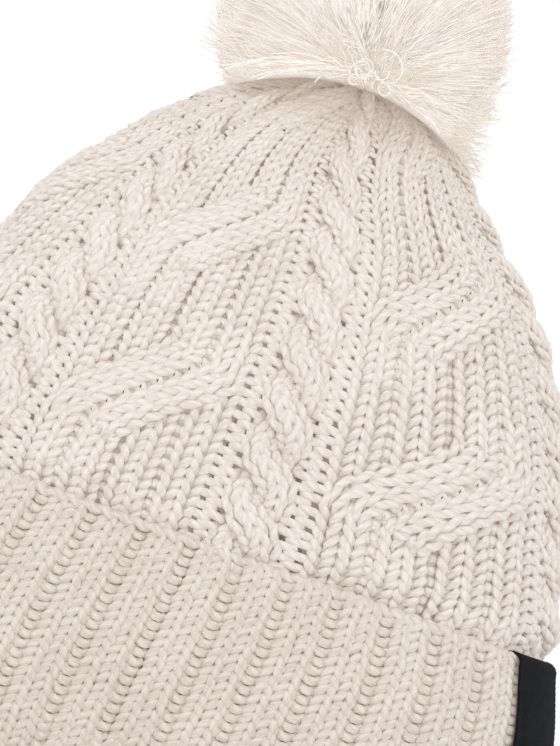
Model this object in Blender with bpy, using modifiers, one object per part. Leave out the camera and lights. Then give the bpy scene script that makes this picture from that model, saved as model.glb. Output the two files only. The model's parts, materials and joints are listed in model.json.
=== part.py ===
"""Cuffed cable-knit beanie with a yarn pompom and a fleece lining.

Metres, +Z up. The hat stands upright on the fold of its cuff, with its front towards -Y.
The origin is at the centre of the hat's footprint, on the surface that it stands on.
Every turned part of the hat has one plan shape, a broad oval: its outline gives the
half-width along X, and PLAN_DEPTH times that is the half-depth along Y. Only near the
gathered top does the oval become rounder.
"""

import math

import bmesh
import bpy
from mathutils import Matrix, Vector

MM = 0.001
GAP = 0.3 * MM  # clearance between pieces that touch on the real hat

# Plan shape: a superellipse, flatter at the front and back than an ellipse
PLAN_DEPTH = 0.70
PLAN_POWER = 2.6
PLAN_ROUND_RADIUS = 45.0 * MM  # half-widths under this grow rounder towards the axis
ROUND_STEPS = 48

# Knit fabric
CROWN_THICKNESS = 5.0 * MM
CUFF_THICKNESS = 4.6 * MM
CUFF_HEIGHT = 75.0 * MM
CROWN_START = 67.0 * MM  # the crown fabric starts here, hidden behind the turned-up cuff
JOIN_GAP = 0.4 * MM
FOLD_CENTRE = 3.8 * MM  # low enough for the round of the fold to be pressed flat underneath

# Outer faces, as (half-width, height) from bottom to top
CUFF_FACE = [
    (108.5 * MM, FOLD_CENTRE),
    (112.4 * MM, 16.0 * MM),
    (114.0 * MM, 36.0 * MM),
    (112.0 * MM, 54.0 * MM),
    (106.0 * MM, CUFF_HEIGHT - CUFF_THICKNESS / 2),
]
CUFF_INNER_LAYER = [  # middle of the cuff's inner layer
    (100.8 * MM, FOLD_CENTRE),
    (104.6 * MM, 16.0 * MM),
    (105.6 * MM, 34.0 * MM),
    (102.3 * MM, 51.0 * MM),
    (97.1 * MM, CROWN_START - 5.0 * MM),
    (97.0 * MM, CROWN_START - JOIN_GAP),
]
CROWN_FACE = [
    (99.5 * MM, CROWN_START),
    (99.2 * MM, 81.0 * MM),
    (96.8 * MM, 101.0 * MM),
    (90.8 * MM, 125.0 * MM),
    (81.0 * MM, 145.0 * MM),
    (69.0 * MM, 164.7 * MM),
    (55.0 * MM, 180.4 * MM),
    (37.9 * MM, 196.0 * MM),
    (21.0 * MM, 205.4 * MM),
    (6.4 * MM, 209.2 * MM),
]
CROWN_TOP = CROWN_FACE[-1][1]

# Pompom: a ball of cut yarn, tied at its underside
POMPOM_RADIUS = 42.5 * MM
POMPOM_CENTRE = 227.0 * MM
POMPOM_RIM_ANGLE = math.radians(-23.0)  # where the ball ends and its underside starts
POMPOM_UNDERSIDE = 212.0 * MM
TIE_RECESS_RADIUS = 8.2 * MM
TIE_RECESS_TOP = 220.5 * MM
TIE_RADIUS = 4.6 * MM
TIE_YARN_RADIUS = 1.3 * MM
TIE_HEIGHT = 215.4 * MM
ANCHOR_YARN_RADIUS = 1.4 * MM
ANCHOR_TOP = 214.0 * MM
GATHER_RADIUS = 3.5 * MM
GATHER_YARN_RADIUS = 1.0 * MM
KNOT_HEIGHT = 199.6 * MM
KNOT_SCALE = 1.35 * MM
KNOT_YARN_RADIUS = 1.15 * MM

# Fleece lining in four gores
LINING_THICKNESS = 1.8 * MM
LINING_OUTER = [
    (101.2 * MM, 14.0 * MM),
    (102.3 * MM, 32.0 * MM),
    (98.0 * MM, 50.0 * MM),
    (91.4 * MM, 66.0 * MM),
    (90.2 * MM, 81.0 * MM),
    (88.0 * MM, 101.0 * MM),
    (80.8 * MM, 123.0 * MM),
    (69.6 * MM, 143.0 * MM),
    (55.0 * MM, 162.5 * MM),
    (38.0 * MM, 178.5 * MM),
    (19.0 * MM, 190.0 * MM),
    (2.6 * MM, 193.6 * MM),
]
GORE_STEPS = 12
THREAD_RADIUS = 0.6 * MM
CROSSING_DROP = 1.7 * MM  # the second seam passes this far under the first at the top
CROSSING_REACH = 16.0 * MM
SEAM_TOP_RADIUS = 4.0 * MM  # the seams run straight across inside this

# Seam yarn up the back, between the knit and the lining
SEAM_YARN_RADIUS = 0.7 * MM

# Woven label folded over the cuff's upper edge, at the wearer's left-hand end
LABEL_FRONT_ANGLE = math.radians(-30.5)  # plan angles from +X, negative towards the front
LABEL_BACK_ANGLE = math.radians(-10.0)
LABEL_DROP = 46.0 * MM
LABEL_TUCK = 9.0 * MM
LABEL_THICKNESS = 0.6 * MM
LABEL_STEPS = 5

# Care label hanging inside the back
CARE_WIDTH = 22.0 * MM
CARE_LENGTH = 38.0 * MM
CARE_TOP = 70.0 * MM
CARE_Y = 58.9 * MM
CARE_LEAF = 0.6 * MM
CARE_LEAF_GAP = 0.5 * MM
CARE_SEAM_GAP = 1.1 * MM  # room for the label's upper edge to turn under its stitches

# Colours: linear red, green, blue
CREAM_YARN = (0.80, 0.73, 0.66)
POMPOM_YARN = (0.83, 0.74, 0.66)
CHARCOAL_FLEECE = (0.045, 0.045, 0.05)
CHARCOAL_THREAD = (0.03, 0.03, 0.033)
BLACK_LABEL = (0.012, 0.012, 0.013)
WHITE_SATIN = (0.85, 0.85, 0.84)


def clear_scene():
    for obj in list(bpy.data.objects):
        bpy.data.objects.remove(obj, do_unlink=True)


def material(name, colour, roughness):
    made = bpy.data.materials.new(name)
    made.use_nodes = True
    shader = made.node_tree.nodes["Principled BSDF"]
    shader.inputs["Base Color"].default_value = (*colour, 1.0)
    shader.inputs["Roughness"].default_value = roughness
    shader.inputs["Metallic"].default_value = 0.0
    made.diffuse_color = (*colour, 1.0)
    return made


def add_object(name, data, finish):
    obj = bpy.data.objects.new(name, data)
    obj.data.materials.append(finish)
    HAT.objects.link(obj)
    return obj


def smooth(points, per_segment):
    """A Catmull-Rom curve through the points, as (x, z) pairs."""
    knots = [Vector(p) for p in points]
    knots = [2 * knots[0] - knots[1], *knots, 2 * knots[-1] - knots[-2]]
    curve = []
    for a, b, c, d in zip(knots, knots[1:], knots[2:], knots[3:]):
        for step in range(per_segment):
            t = step / per_segment
            curve.append(
                0.5 * (2 * b + (c - a) * t + (2 * a - 5 * b + 4 * c - d) * t**2
                       + (3 * b - a - 3 * c + d) * t**3)
            )
    return [*curve, knots[-2]]


def offset(path, distance):
    """The path moved to the left of its direction: inwards for one that climbs the outer face."""
    moved = []
    for i, point in enumerate(path):
        along = (path[min(i + 1, len(path) - 1)] - path[max(i - 1, 0)]).normalized()
        moved.append(point + distance * Vector((-along.y, along.x)))
    return moved


def arc(centre, radius, start, end, steps):
    return [
        Vector(centre) + radius * Vector((math.cos(a), math.sin(a)))
        for a in (start + (end - start) * i / steps for i in range(steps + 1))
    ]


def plan_depth(radius):
    """The half-depth along Y where the half-width along X is this radius."""
    roundness = max(0.0, 1.0 - radius / PLAN_ROUND_RADIUS) ** 2
    return radius * (PLAN_DEPTH + (1.0 - PLAN_DEPTH) * roundness)


def plan_point(radius, angle):
    """The point at this angle of the hat's plan shape with this half-width."""
    across, back = math.cos(angle), math.sin(angle)
    return (
        radius * math.copysign(abs(across) ** (2 / PLAN_POWER), across),
        plan_depth(radius) * math.copysign(abs(back) ** (2 / PLAN_POWER), back),
    )


def turned(name, outline, finish, oval=True, steps=ROUND_STEPS, start=0.0, sweep=math.tau,
           closed=True):
    """Turns an (x, z) outline about Z with a Screw modifier, then gives it the hat's plan shape.

    A closed outline is a ring's section; an open one starts and ends on the axis. A part
    sweep has its two ends capped.
    """
    profile = bpy.data.meshes.new(name)
    count = len(outline)
    edges = [(i, i + 1) for i in range(count - 1)] + ([(count - 1, 0)] if closed else [])
    profile.from_pydata([(p[0], 0.0, p[1]) for p in outline], edges, [])
    source = bpy.data.objects.new(name + "_profile", profile)
    HAT.objects.link(source)
    screw = source.modifiers.new("Screw", "SCREW")
    screw.angle = sweep
    screw.steps = screw.render_steps = steps
    screw.use_merge_vertices = True
    screw.merge_threshold = 1e-6
    graph = bpy.context.evaluated_depsgraph_get()
    mesh = bpy.data.meshes.new_from_object(source.evaluated_get(graph), depsgraph=graph)
    bpy.data.objects.remove(source, do_unlink=True)
    bpy.data.meshes.remove(profile)
    mesh.name = name
    mesh.transform(Matrix.Rotation(start, 4, "Z"))
    if oval:
        for vertex in mesh.vertices:
            x, y, _ = vertex.co
            vertex.co.xy = plan_point(math.hypot(x, y), math.atan2(y, x))
    shape = bmesh.new()
    shape.from_mesh(mesh)
    bmesh.ops.holes_fill(shape, edges=[e for e in shape.edges if e.is_boundary], sides=0)
    bmesh.ops.recalc_face_normals(shape, faces=shape.faces)
    shape.to_mesh(mesh)
    shape.free()
    mesh.materials.clear()
    mesh.shade_smooth()
    mesh.set_sharp_from_angle(angle=math.radians(40))
    return add_object(name, mesh, finish)


def tube(name, points, radius, finish, cyclic=False, resolution=1):
    """A yarn or thread: a round bevel on a polyline of (x, y, z) points."""
    curve = bpy.data.curves.new(name, "CURVE")
    curve.dimensions = "3D"
    curve.bevel_depth = radius
    curve.bevel_resolution = resolution
    curve.use_fill_caps = True
    spline = curve.splines.new("POLY")
    spline.points.add(len(points) - 1)
    for point, co in zip(spline.points, points):
        point.co = (*co, 1.0)
    spline.use_cyclic_u = cyclic
    return add_object(name, curve, finish)


def torus(name, major, minor, height, finish):
    bpy.ops.mesh.primitive_torus_add(
        major_radius=major, minor_radius=minor, major_segments=24, minor_segments=8
    )
    made = bpy.context.object
    made.name = made.data.name = name
    made.location = (0.0, 0.0, height)
    for collection in made.users_collection:
        collection.objects.unlink(made)
    made.data.materials.append(finish)
    made.data.shade_smooth()
    HAT.objects.link(made)
    return made


def in_depth(path):
    """An (x, z) outline as it stands in the plane of Y, at the middle of the back."""
    return [Vector((plan_depth(p.x), p.y)) for p in path]


def cuff_outline():
    """The section of the rib fabric, turned up on itself: outer layer, fold and inner layer."""
    half = CUFF_THICKNESS / 2
    outer = offset(smooth(CUFF_FACE, 2), half)
    inner = smooth(CUFF_INNER_LAYER, 1)
    fold_centre = (outer[0] + inner[0]) / 2
    fold_radius = (outer[0].x - inner[0].x) / 2
    fold = arc(fold_centre, fold_radius, 0.0, -math.pi, 6)[1:-1]
    middle = [*reversed(outer), *fold, *inner]
    rim = middle[0]
    up = (middle[0] - middle[1]).normalized()
    facing = math.atan2(up.y, up.x)
    round_edge = arc(rim, half, facing + math.pi / 2, facing - math.pi / 2, 4)[1:-1]
    section = [*round_edge, *offset(middle, half), *reversed(offset(middle, -half))]
    return [Vector((p.x, max(p.y, 0.0))) for p in section]


def build_knit(yarn):
    """Crown tube and turned-up rib cuff, with the yarns that seam and gather them."""
    face = smooth(CROWN_FACE, 2)
    inside = offset(face, CROWN_THICKNESS)
    turned("crown_knit", [*reversed(face), *inside], yarn)
    turned("rib_cuff", cuff_outline(), yarn)
    torus("crown_gather_yarn", GATHER_RADIUS, GATHER_YARN_RADIUS, CROWN_TOP - CROWN_THICKNESS / 2, yarn)
    wall = in_depth(offset(smooth(CROWN_FACE[:-1], 3), CROWN_THICKNESS))
    seam = offset(wall, GAP + SEAM_YARN_RADIUS)
    route = [(0.0, p.x, p.y) for p in seam if p.y > CROWN_START + 2 * SEAM_YARN_RADIUS]
    tube("back_seam_yarn", route, SEAM_YARN_RADIUS, yarn)


def pompom_outline():
    ball = arc((0.0, POMPOM_CENTRE), POMPOM_RADIUS, math.pi / 2, POMPOM_RIM_ANGLE, 12)
    ball[0].x = 0.0
    recess = [
        Vector((TIE_RECESS_RADIUS + 1.5 * MM, POMPOM_UNDERSIDE)),
        Vector((TIE_RECESS_RADIUS, POMPOM_UNDERSIDE + 1.0 * MM)),
        Vector((TIE_RECESS_RADIUS, TIE_RECESS_TOP)),
        Vector((0.0, TIE_RECESS_TOP)),
    ]
    return [*ball, *recess]


def knot_point(turn):
    """A trefoil, the shape that an overhand knot closes into."""
    return (
        KNOT_SCALE * (math.sin(turn) + 2 * math.sin(2 * turn)),
        KNOT_SCALE * (math.cos(turn) - 2 * math.cos(2 * turn)),
        KNOT_HEIGHT - 1.15 * KNOT_SCALE * math.sin(3 * turn),
    )


def build_pompom(yarn, strands):
    turned("pompom_yarn", pompom_outline(), strands, oval=False, steps=32, closed=False)
    torus("pompom_tie_yarn", TIE_RADIUS, TIE_YARN_RADIUS, TIE_HEIGHT, yarn)
    knot_top = KNOT_HEIGHT + 1.15 * KNOT_SCALE + KNOT_YARN_RADIUS
    anchor = [(0.0, 0.0, z) for z in (knot_top + GAP, (knot_top + ANCHOR_TOP) / 2, ANCHOR_TOP)]
    tube("pompom_anchor_yarn", anchor, ANCHOR_YARN_RADIUS, yarn, resolution=2)
    steps = 42
    knot = [knot_point(math.tau * i / steps) for i in range(steps)]
    tube("anchor_knot", knot, KNOT_YARN_RADIUS, yarn, cyclic=True)


def build_lining(fleece, thread):
    """Four gores, the two seams between them, the hem stitch and the tack at the top."""
    outer = smooth(LINING_OUTER, 1)
    inner = offset(outer, LINING_THICKNESS)
    section = [*reversed(outer), *inner]
    for quarter, name in enumerate(("back_right", "back_left", "front_left", "front_right")):
        start = quarter * math.pi / 2
        gore = turned("lining_gore_" + name, section, fleece, steps=GORE_STEPS, start=start,
                      sweep=math.pi / 2)
        gore.location = (
            GAP * math.copysign(0.5, math.cos(start + math.pi / 4)),
            GAP * math.copysign(0.5, math.sin(start + math.pi / 4)),
            0.0,
        )
    wall = offset(smooth(LINING_OUTER, 2), LINING_THICKNESS)
    clearance = 3 * GAP + THREAD_RADIUS
    side = [(p.x, 0.0, p.y) for p in offset(wall, clearance) if p.x > SEAM_TOP_RADIUS]
    tube("lining_seam_sides", [*side, *((-x, y, z) for x, y, z in reversed(side))], THREAD_RADIUS, thread)
    lowered = [
        (0.0, p.x, p.y - CROSSING_DROP * max(0.0, 1 - (p.x / CROSSING_REACH) ** 2))
        for p in offset(in_depth(wall), clearance)
        if p.x > SEAM_TOP_RADIUS
    ]
    tube("lining_seam_front_back", [*lowered, *((x, -y, z) for x, y, z in reversed(lowered))],
         THREAD_RADIUS, thread)
    hem = outer[0].x - LINING_THICKNESS - GAP - THREAD_RADIUS - 2 * THREAD_RADIUS
    turns = [math.tau * i / ROUND_STEPS for i in range(ROUND_STEPS)]
    hem_z = LINING_OUTER[0][1] - THREAD_RADIUS - 2 * GAP
    ring = [(*plan_point(hem, a), hem_z) for a in turns]
    tube("lining_hem_stitch", ring, THREAD_RADIUS, thread, cyclic=True)
    tack_top = KNOT_HEIGHT - 1.15 * KNOT_SCALE - KNOT_YARN_RADIUS - GAP
    tube("lining_crown_tack", [(0.0, 0.0, tack_top), (0.0, 0.0, tack_top - 3.2 * MM)], THREAD_RADIUS,
         thread)


def label_outline():
    """A ribbon up the cuff's outer face, over its rim and down behind it."""
    half = CUFF_THICKNESS / 2
    standing_off = GAP + LABEL_THICKNESS / 2
    face = smooth(CUFF_FACE, 4)
    bottom = CUFF_HEIGHT - LABEL_DROP
    outside = offset([p for p in face if p.y > bottom], -standing_off)
    rim = offset(face, half)[-1]
    up = (face[-1] - face[-2]).normalized()
    facing = math.atan2(up.y, up.x)
    over = arc(rim, half + standing_off, facing - math.pi / 2, facing + math.pi / 2, 6)[1:]
    inside = [over[-1] - up * LABEL_TUCK * step / 2 for step in (1, 2)]
    path = [*outside, *over, *inside]
    return [*offset(path, LABEL_THICKNESS / 2), *reversed(offset(path, -LABEL_THICKNESS / 2))]


def build_labels(woven, satin, dark_thread, light_thread):
    sweep = LABEL_BACK_ANGLE - LABEL_FRONT_ANGLE
    turned("woven_label", label_outline(), woven, steps=LABEL_STEPS, start=LABEL_FRONT_ANGLE,
           sweep=sweep)
    stitch_height = CUFF_HEIGHT - LABEL_DROP + 4.0 * MM
    face = min(smooth(CUFF_FACE, 4), key=lambda p: abs(p.y - stitch_height))
    standing = face.x + 3 * GAP + LABEL_THICKNESS + THREAD_RADIUS
    angles = [LABEL_FRONT_ANGLE + sweep * (0.07 + 0.86 * i / 6) for i in range(7)]
    stitch = [(*plan_point(standing, a), face.y) for a in angles]
    tube("woven_label_stitch", stitch, THREAD_RADIUS, dark_thread)

    leaf = CARE_LEAF_GAP / 2 + CARE_LEAF / 2
    bottom = CARE_TOP - CARE_LENGTH
    fold = arc((0.0, bottom + leaf), leaf, 0.0, -math.pi, 6)
    path = [Vector((leaf, CARE_TOP)), *fold, Vector((-leaf, CARE_TOP))]
    outline = [*offset(path, CARE_LEAF / 2), *reversed(offset(path, -CARE_LEAF / 2))]
    curve = bpy.data.curves.new("care_label", "CURVE")
    curve.dimensions = "2D"
    curve.fill_mode = "BOTH"
    curve.extrude = CARE_WIDTH / 2
    spline = curve.splines.new("POLY")
    spline.points.add(len(outline) - 1)
    for point, co in zip(spline.points, outline):
        point.co = (co.x, co.y - CARE_TOP, 0.0, 1.0)
    spline.use_cyclic_u = True
    label = add_object("care_label", curve, satin)
    label.matrix_world = Matrix.Translation((0.0, CARE_Y, CARE_TOP)) @ Matrix(
        ((0, 0, 1, 0), (1, 0, 0, 0), (0, 1, 0, 0), (0, 0, 0, 1))
    )
    reach = CARE_WIDTH / 2 - 1.5 * MM
    row = [(x, CARE_Y, CARE_TOP + CARE_SEAM_GAP + THREAD_RADIUS) for x in (-reach, 0.0, reach)]
    tube("care_label_stitch", row, THREAD_RADIUS, light_thread)


clear_scene()
HAT = bpy.data.collections.new("knit_beanie")
bpy.context.scene.collection.children.link(HAT)
cream = material("cream_yarn", CREAM_YARN, 0.9)
build_knit(cream)
build_pompom(cream, material("pompom_yarn", POMPOM_YARN, 0.92))
charcoal = material("charcoal_thread", CHARCOAL_THREAD, 0.7)
build_lining(material("charcoal_fleece", CHARCOAL_FLEECE, 0.97), charcoal)
build_labels(
    material("black_woven_label", BLACK_LABEL, 0.65),
    material("white_satin", WHITE_SATIN, 0.45),
    charcoal,
    material("white_thread", WHITE_SATIN, 0.7),
)
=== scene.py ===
"""Looks of the cuffed cable-knit beanie: every stitch of the crown and of the turned-up rib cuff
is a loop of yarn, laid out on the hat's own surface, row by row and wale by wale.

Lengths in this file are in millimetres until place() and the mesh makers turn them into metres.
A "turn" is a place round the hat, in degrees of the way round its plan shape: 0 at the front
centre (-Y), 90 at +X. "Along" is a length up the outside of the fabric.
"""

import json
import math

import bpy
import numpy as np
from mathutils import Matrix, Vector

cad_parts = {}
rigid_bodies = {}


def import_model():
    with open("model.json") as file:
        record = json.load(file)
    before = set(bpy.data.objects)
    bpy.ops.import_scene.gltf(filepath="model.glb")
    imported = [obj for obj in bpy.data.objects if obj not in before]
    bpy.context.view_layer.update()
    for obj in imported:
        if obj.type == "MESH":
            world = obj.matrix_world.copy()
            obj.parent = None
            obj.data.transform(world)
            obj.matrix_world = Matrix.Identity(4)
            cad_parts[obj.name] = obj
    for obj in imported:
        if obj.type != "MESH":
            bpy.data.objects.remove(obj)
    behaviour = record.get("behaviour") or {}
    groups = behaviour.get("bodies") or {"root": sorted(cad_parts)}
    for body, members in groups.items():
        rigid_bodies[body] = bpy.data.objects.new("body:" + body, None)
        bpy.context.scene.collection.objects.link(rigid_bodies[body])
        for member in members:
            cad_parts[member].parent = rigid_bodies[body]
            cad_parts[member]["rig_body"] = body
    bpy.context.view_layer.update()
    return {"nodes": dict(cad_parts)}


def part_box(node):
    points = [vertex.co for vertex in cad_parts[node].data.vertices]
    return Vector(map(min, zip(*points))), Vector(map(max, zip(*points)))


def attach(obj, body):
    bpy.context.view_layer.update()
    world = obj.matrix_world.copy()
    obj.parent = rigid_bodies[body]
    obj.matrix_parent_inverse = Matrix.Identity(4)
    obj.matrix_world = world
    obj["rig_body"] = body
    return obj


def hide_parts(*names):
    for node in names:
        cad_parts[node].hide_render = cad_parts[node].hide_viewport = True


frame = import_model()

MM = 0.001
RNG = np.random.default_rng(11)

# ---------------------------------------------------------------- the hat's surface
PLAN_DEPTH = 0.70
PLAN_POWER = 2.6
PLAN_ROUND_RADIUS = 45.0
CROWN_FACE = [(99.5, 62.0), (100.2, 70.0), (103.3, 82.0), (100.4, 93.0), (96.8, 104.0), (90.8, 125.0),
              (81.0, 145.0), (69.0, 164.7), (55.0, 180.4), (37.9, 196.0), (21.0, 205.4), (6.4, 209.2)]
LEAN, LEAN_HEIGHT, LEAN_SPAN = -2.8, 184.0, 14.0  # the shoulders of the crown stand a little to one side
CUFF_TOP = 75.0
CUFF_FACE = [(103.5, -0.6), (107.2, 0.9), (109.0, 4.4), (112.4, 16.0), (114.0, 36.0), (112.0, 54.0),
             (106.5, 71.0), (105.0, 75.0)]
CUFF_BACK = [(103.5, -0.6), (99.9, 0.9), (98.6, 4.4), (102.3, 16.0), (103.2, 34.0), (99.8, 51.0),
             (95.0, 62.0)]


def catmull(points, per_segment):
    p = np.array(points, float)
    p = np.vstack([2 * p[0] - p[1], p, 2 * p[-1] - p[-2]])
    t = (np.arange(per_segment) / per_segment)[None, :, None]
    a, b, c, d = (p[i:len(p) - 3 + i, None, :] for i in range(4))
    curve = 0.5 * (2 * b + (c - a) * t + (2 * a - 5 * b + 4 * c - d) * t**2
                   + (3 * b - a - 3 * c + d) * t**3)
    return np.vstack([curve.reshape(-1, 2), p[-2]])


def plan_depth(radius):
    return radius * (PLAN_DEPTH + (1 - PLAN_DEPTH) * np.maximum(0, 1 - radius / PLAN_ROUND_RADIUS) ** 2)


class Surface:
    """The hat's outside as a grid of points and normals, by along and by turn."""

    STEP = 1.0
    TURNS = 720

    def __init__(self, profile):
        fine = catmull(profile, 16)
        depth = plan_depth(fine[:, 0])
        length = np.concatenate([[0], np.cumsum(np.hypot(np.diff(depth), np.diff(fine[:, 1])))])
        self.length = length[-1]
        self.count = int(self.length / self.STEP) + 2
        at = np.linspace(0, self.length, self.count)
        self.step = at[1]
        self.radius = np.interp(at, length, fine[:, 0])
        self.height = np.interp(at, length, fine[:, 1])
        polar = np.linspace(0, math.tau, 2881)
        sine, cosine = np.sin(polar), np.cos(polar)
        turns = np.linspace(0, 1, self.TURNS + 1)
        rings = []
        self.round = []
        for r, z in zip(self.radius, self.height):
            d = plan_depth(r)
            reach = (np.abs(sine / r) ** PLAN_POWER + np.abs(cosine / d) ** PLAN_POWER) ** (-1 / PLAN_POWER)
            x, y = reach * sine, -reach * cosine
            run = np.concatenate([[0], np.cumsum(np.hypot(np.diff(x), np.diff(y)))])
            self.round.append(run[-1])
            where = turns * run[-1]
            rings.append(np.stack([np.interp(where, run, x), np.interp(where, run, y),
                                   np.full(len(turns), z)], -1))
        self.round = np.array(self.round)
        self.points = np.array(rings)
        up = np.gradient(self.points, axis=0)
        wrapped = np.concatenate([self.points[:, -2:-1], self.points, self.points[:, 1:2]], 1)
        across = (wrapped[:, 2:] - wrapped[:, :-2]) / 2
        normal = np.cross(across, up)
        self.normals = normal / np.linalg.norm(normal, axis=-1, keepdims=True)

    def place(self, turn, along, out):
        """Points in space, and the surface's normals there."""
        u = np.mod(turn / 360.0, 1.0) * self.TURNS
        v = np.clip(along / self.step, 0, self.count - 1.001)
        i, j = u.astype(int), v.astype(int)
        fu, fv = (u - i)[..., None], (v - j)[..., None]
        i2 = np.minimum(i + 1, self.TURNS)

        def mix(grid):
            return ((grid[j, i] * (1 - fu) + grid[j, i2] * fu) * (1 - fv)
                    + (grid[j + 1, i] * (1 - fu) + grid[j + 1, i2] * fu) * fv)

        normal = mix(self.normals)
        normal /= np.linalg.norm(normal, axis=-1, keepdims=True)
        extra = along - v * self.step
        point = mix(self.points) + normal * out[..., None]
        point[..., 2] += extra
        return point, normal

    def along_at(self, z):
        return float(np.interp(z, self.height, np.arange(self.count) * self.step))

    def round_at(self, along):
        return np.interp(along, np.arange(self.count) * self.step, self.round)


CROWN = Surface(CROWN_FACE)
CUFF = Surface(CUFF_FACE)
HEM = Surface(CUFF_BACK)

# ---------------------------------------------------------------- yarn
SIDES = 6
FLATNESS = 0.76  # yarn packed in a fabric is a little wider than it is deep
PLY_LENGTH = 11.0  # one full turn of the yarn's twist


def tubes(groups, sides=SIDES):
    """Verts, quads and a running length for tubes, from (points, normals, radii) of many equal
    tubes: points is (tubes, samples, 3)."""
    verts, quads, lengths = [], [], []
    base = 0
    ring = math.tau * np.arange(sides) / sides - math.pi / 2  # the first side faces inwards
    for points, normals, radii in groups:
        n, m = points.shape[:2]
        if not n:
            continue
        tangent = np.gradient(points, axis=1)
        tangent /= np.linalg.norm(tangent, axis=-1, keepdims=True) + 1e-12
        side = np.cross(tangent, normals)
        size = np.linalg.norm(side, axis=-1, keepdims=True)
        side = side / (size + 1e-9)
        lift = np.cross(side, tangent)
        offsets = (side[:, :, None] * np.cos(ring)[None, None, :, None]
                   + lift[:, :, None] * (FLATNESS * np.sin(ring))[None, None, :, None])
        body = points[:, :, None] + offsets * radii[:, :, None, None]
        verts.append(body.reshape(-1, 3))
        idx = base + np.arange(n * m * sides).reshape(n, m, sides)
        a, b = idx[:, :-1], idx[:, 1:]
        quad = np.stack([a, np.roll(a, -1, 2), np.roll(b, -1, 2), b], -1).reshape(-1, 4)
        quads.append(quad)
        run = np.concatenate([np.zeros((n, 1)),
                              np.cumsum(np.linalg.norm(np.diff(points, axis=1), axis=-1), 1)], 1)
        run = run + (np.arange(n) * 13.7 % 97)[:, None]
        lengths.append(np.repeat(run[:, :, None], sides, 2).reshape(-1))
        base += n * m * sides
    return np.concatenate(verts), np.concatenate(quads), np.concatenate(lengths)


def yarn_object(name, groups, finish, sides=SIDES):
    verts, quads, lengths = tubes(groups, sides)
    mesh = bpy.data.meshes.new(name)
    mesh.vertices.add(len(verts))
    mesh.vertices.foreach_set("co", (verts * MM).astype(np.float32).ravel())
    mesh.loops.add(len(quads) * 4)
    mesh.loops.foreach_set("vertex_index", quads.astype(np.int32).ravel())
    mesh.polygons.add(len(quads))
    mesh.polygons.foreach_set("loop_start", np.arange(0, len(quads) * 4, 4, dtype=np.int32))
    mesh.polygons.foreach_set("use_smooth", np.ones(len(quads), bool))
    uv = mesh.uv_layers.new(name="yarn")
    corner = quads.ravel()
    around = (corner % sides) / sides
    wrap = np.tile([0, 1, 1, 0], len(quads)).astype(float)
    around = np.where((wrap > 0) & (around == 0), 1.0, around)
    pairs = np.stack([lengths[corner], around + lengths[corner] / PLY_LENGTH], -1)
    uv.data.foreach_set("uv", pairs.astype(np.float32).ravel())
    mesh.update(calc_edges=True)
    mesh.validate()
    mesh.materials.append(finish)
    obj = bpy.data.objects.new(name, mesh)
    bpy.context.scene.collection.objects.link(obj)
    return obj


def mesh_object(name, verts, quads, finish):
    """A smooth mesh from points in millimetres."""
    mesh = bpy.data.meshes.new(name)
    mesh.from_pydata((verts * MM).tolist(), [], quads.tolist())
    mesh.polygons.foreach_set("use_smooth", np.ones(len(mesh.polygons), bool))
    mesh.validate()
    mesh.materials.append(finish)
    obj = bpy.data.objects.new(name, mesh)
    bpy.context.scene.collection.objects.link(obj)
    return obj


def grid_quads(rows, columns, closed=False):
    i, j = np.meshgrid(np.arange(rows - 1), np.arange(columns - (0 if closed else 1)), indexing="ij")
    a, b = i * columns + j, i * columns + (j + 1) % columns
    return np.stack([a, b, b + columns, a + columns], -1).reshape(-1, 4)


def strand_group(points, radii):
    """Normals for strands, square to their run."""
    tangent = np.gradient(points, axis=1)
    spare = np.where(np.abs(tangent[..., 2:]) > 0.7 * np.linalg.norm(tangent, axis=-1, keepdims=True),
                     np.array([1.0, 0, 0]), np.array([0, 0, 1.0]))
    normal = np.cross(np.cross(tangent, spare), tangent)
    return points, normal / (np.linalg.norm(normal, axis=-1, keepdims=True) + 1e-12), radii


# ---------------------------------------------------------------- stitches
LOOP_STEPS = 14
YARN = 1.23
LOOP_HEIGHT = 1.02
PURL_HEIGHT = 0.60
BAR_LENGTH, BAR_SHIFT = 0.96, 0.20  # a ladder's bars, in units
LOOP_DEPTH = 0.90
V_WIDTH = 0.27
PURL_SPREAD = 0.17


def course(signs, widths, end_dip=True, steps=LOOP_STEPS):
    """One row of stitches as (column, across, along, out, thickness) samples.

    across is from the column's centre, in units; along in rows; out in loop depths.
    """
    signs, widths = np.array(signs, float), np.array(widths, float)
    t = math.tau * (np.arange(steps) + 0.5) / steps - math.pi
    n = len(signs)
    T = np.tile(t, n)
    col = np.repeat(np.arange(n), steps)
    left, right = np.roll(signs, 1), np.roll(signs, -1)
    if end_dip:
        left[0], right[-1] = signs[0], signs[-1]
    near = np.clip((np.abs(T) / math.pi - 0.55) / 0.45, 0, 1)
    near = 0.5 * near * near * (3 - 2 * near)
    other = np.where(T > 0, right[col], left[col])
    sign = signs[col] * (1 - near) + other * near
    w = widths[col]
    knit = 0.5 + 0.5 * sign
    spread = np.where(signs[col] > 0, V_WIDTH, PURL_SPREAD)
    across = w * (T / math.tau + spread * np.sin(2 * T))
    along = LOOP_HEIGHT * (PURL_HEIGHT + (1 - PURL_HEIGHT) * knit) * np.cos(T)
    swing = -np.cos(2 * T)
    out = sign * np.sign(swing) * np.abs(swing) ** 0.75
    thick = 1.0 + 0.14 * swing * knit + 0.14 * (1 - knit)
    if end_dip:
        first, last = (col == 0) & (T < -2.0), (col == n - 1) & (T > 2.0)
        out = np.where(first | last, -1.6, out)
    return col, across, along, out, thick


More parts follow.
